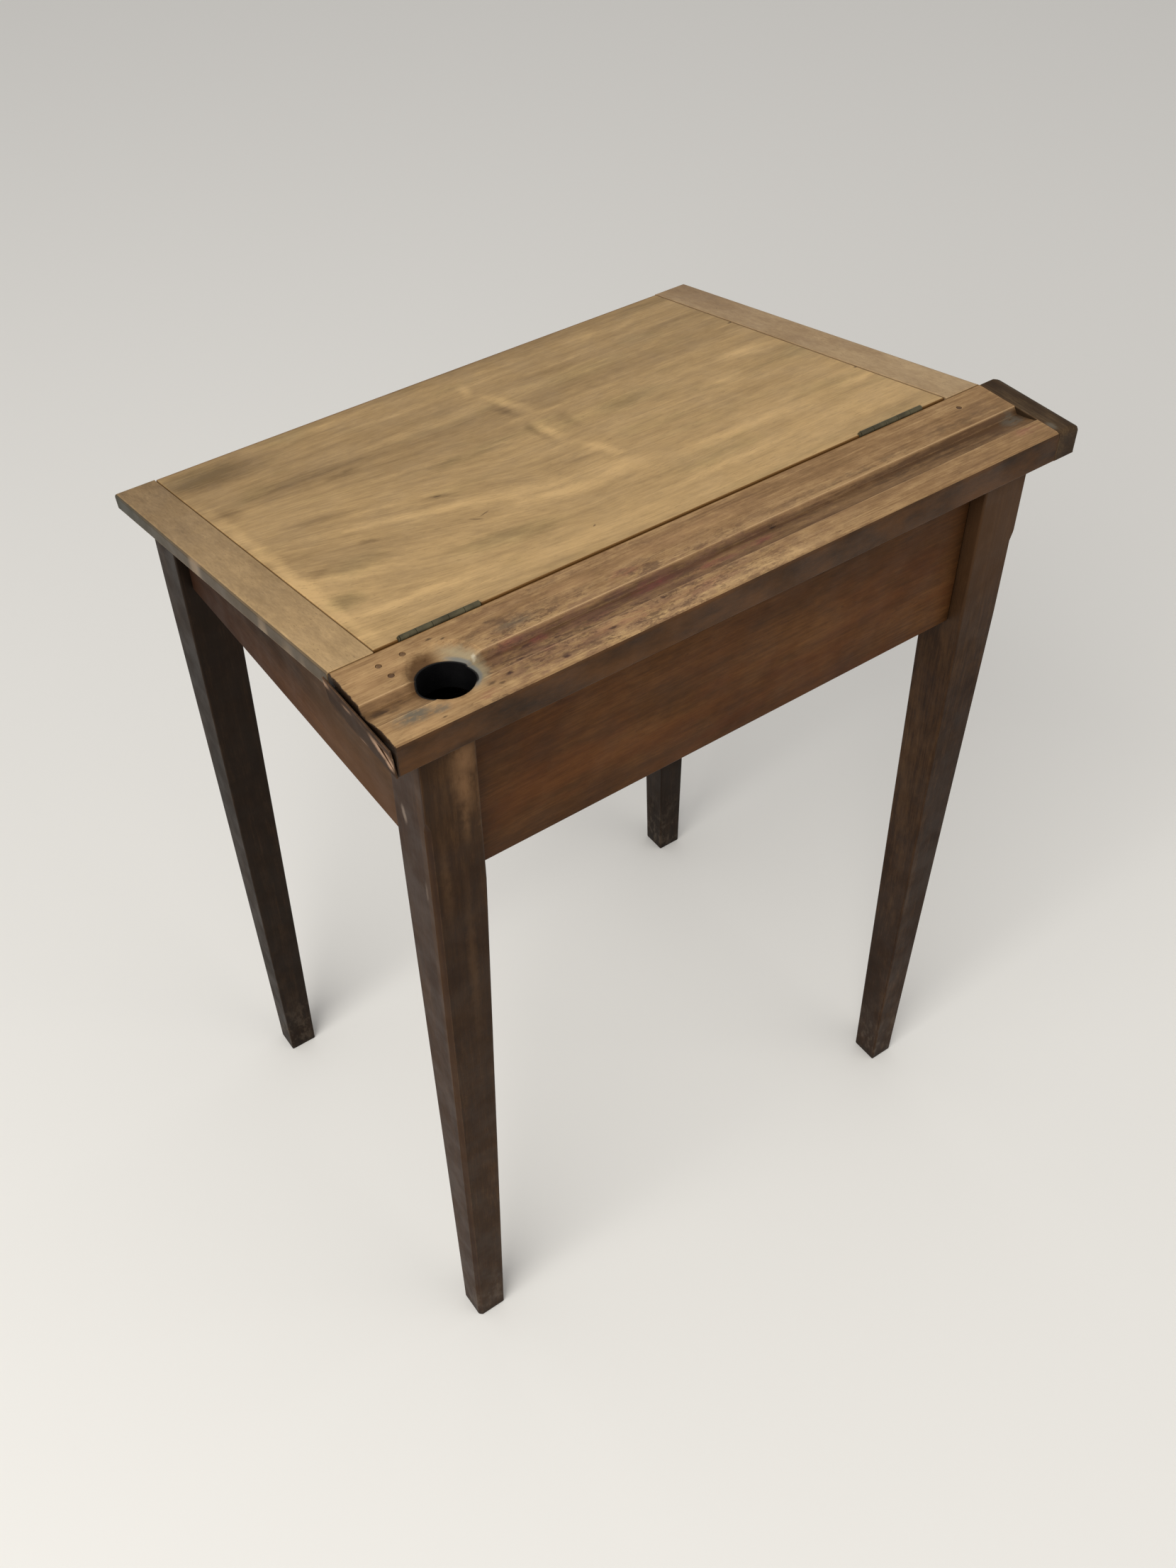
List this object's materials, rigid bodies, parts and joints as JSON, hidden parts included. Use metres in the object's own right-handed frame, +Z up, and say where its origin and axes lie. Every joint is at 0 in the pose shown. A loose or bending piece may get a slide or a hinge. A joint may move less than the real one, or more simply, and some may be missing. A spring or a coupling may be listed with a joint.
{
  "type": "school desk",
  "caption": "Small wooden school desk with tapered legs, a sloping hinged lid over a book box, and a pen rail with a groove and an ink hole.",
  "frame": {"origin": "under the middle of the whole box, on the floor", "axes": "+Z up, +Y from the pupil towards the pen rail at the back, +X to the pupil's right, where the ink hole is"},
  "size_m": [0.524, 0.3952, 0.6919],
  "materials": {
    "leg_wood": "dark brown, worn lighter on the arrises",
    "back_apron_wood": "reddish brown, satin",
    "side_apron_wood": "dull mauve brown",
    "inner_wood": "bare, dusty",
    "left_strip_wood": "reddish brown, worn",
    "right_strip_wood": "tan, sanded bare",
    "rail_wood": "tan, worn, with ink stains",
    "cap_wood": "dark grey brown, worn",
    "facing_wood": "dark brown, chipped",
    "lid_wood": "light tan, sanded, slight figure",
    "hinge_steel": "tarnished",
    "screw_steel": "tarnished",
    "nail_iron": "rusted"
  },
  "bodies": {
    "desk": {"leg_front_left": "leg_wood", "leg_front_right": "leg_wood", "leg_back_left": "leg_wood", "leg_back_right": "leg_wood", "apron_front": "back_apron_wood", "apron_back": "back_apron_wood", "apron_left": "side_apron_wood", "apron_right": "side_apron_wood", "ledger_front": "inner_wood", "ledger_back": "inner_wood", "ledger_left": "inner_wood", "ledger_right": "inner_wood", "bottom_board": "inner_wood", "strip_left": "left_strip_wood", "strip_right": "right_strip_wood", "pen_rail": "rail_wood", "rail_end_cap": "cap_wood", "rail_end_facing": "facing_wood", "rail_nail_right_front": "nail_iron", "rail_nail_right_outer": "nail_iron", "rail_nail_right_back": "nail_iron", "rail_nail_left": "nail_iron", "hinge_right_pin": "hinge_steel", "hinge_left_pin": "hinge_steel", "hinge_right_rail_leaf": "hinge_steel", "hinge_right_rail_leaf_screw_1": "screw_steel", "hinge_right_rail_leaf_screw_2": "screw_steel", "hinge_right_rail_leaf_screw_3": "screw_steel", "hinge_left_rail_leaf": "hinge_steel", "hinge_left_rail_leaf_screw_1": "screw_steel", "hinge_left_rail_leaf_screw_2": "screw_steel", "hinge_left_rail_leaf_screw_3": "screw_steel"},
    "lid": {"lid_panel": "lid_wood", "lid_batten_left": "inner_wood", "lid_batten_left_screw_1": "screw_steel", "lid_batten_left_screw_2": "screw_steel", "lid_batten_left_screw_3": "screw_steel", "lid_batten_right": "inner_wood", "lid_batten_right_screw_1": "screw_steel", "lid_batten_right_screw_2": "screw_steel", "lid_batten_right_screw_3": "screw_steel", "hinge_right_lid_leaf": "hinge_steel", "hinge_right_lid_leaf_screw_1": "screw_steel", "hinge_right_lid_leaf_screw_2": "screw_steel", "hinge_right_lid_leaf_screw_3": "screw_steel", "hinge_left_lid_leaf": "hinge_steel", "hinge_left_lid_leaf_screw_1": "screw_steel", "hinge_left_lid_leaf_screw_2": "screw_steel", "hinge_left_lid_leaf_screw_3": "screw_steel"}
  },
  "joints": [
    {"name": "lid_hinge", "type": "hinge", "parent": "desk", "child": "lid", "pos_m": [0.00802, 0.122, 0.69], "axis": [-1, 0, 0], "range_deg": [0, 190]}
  ]
}
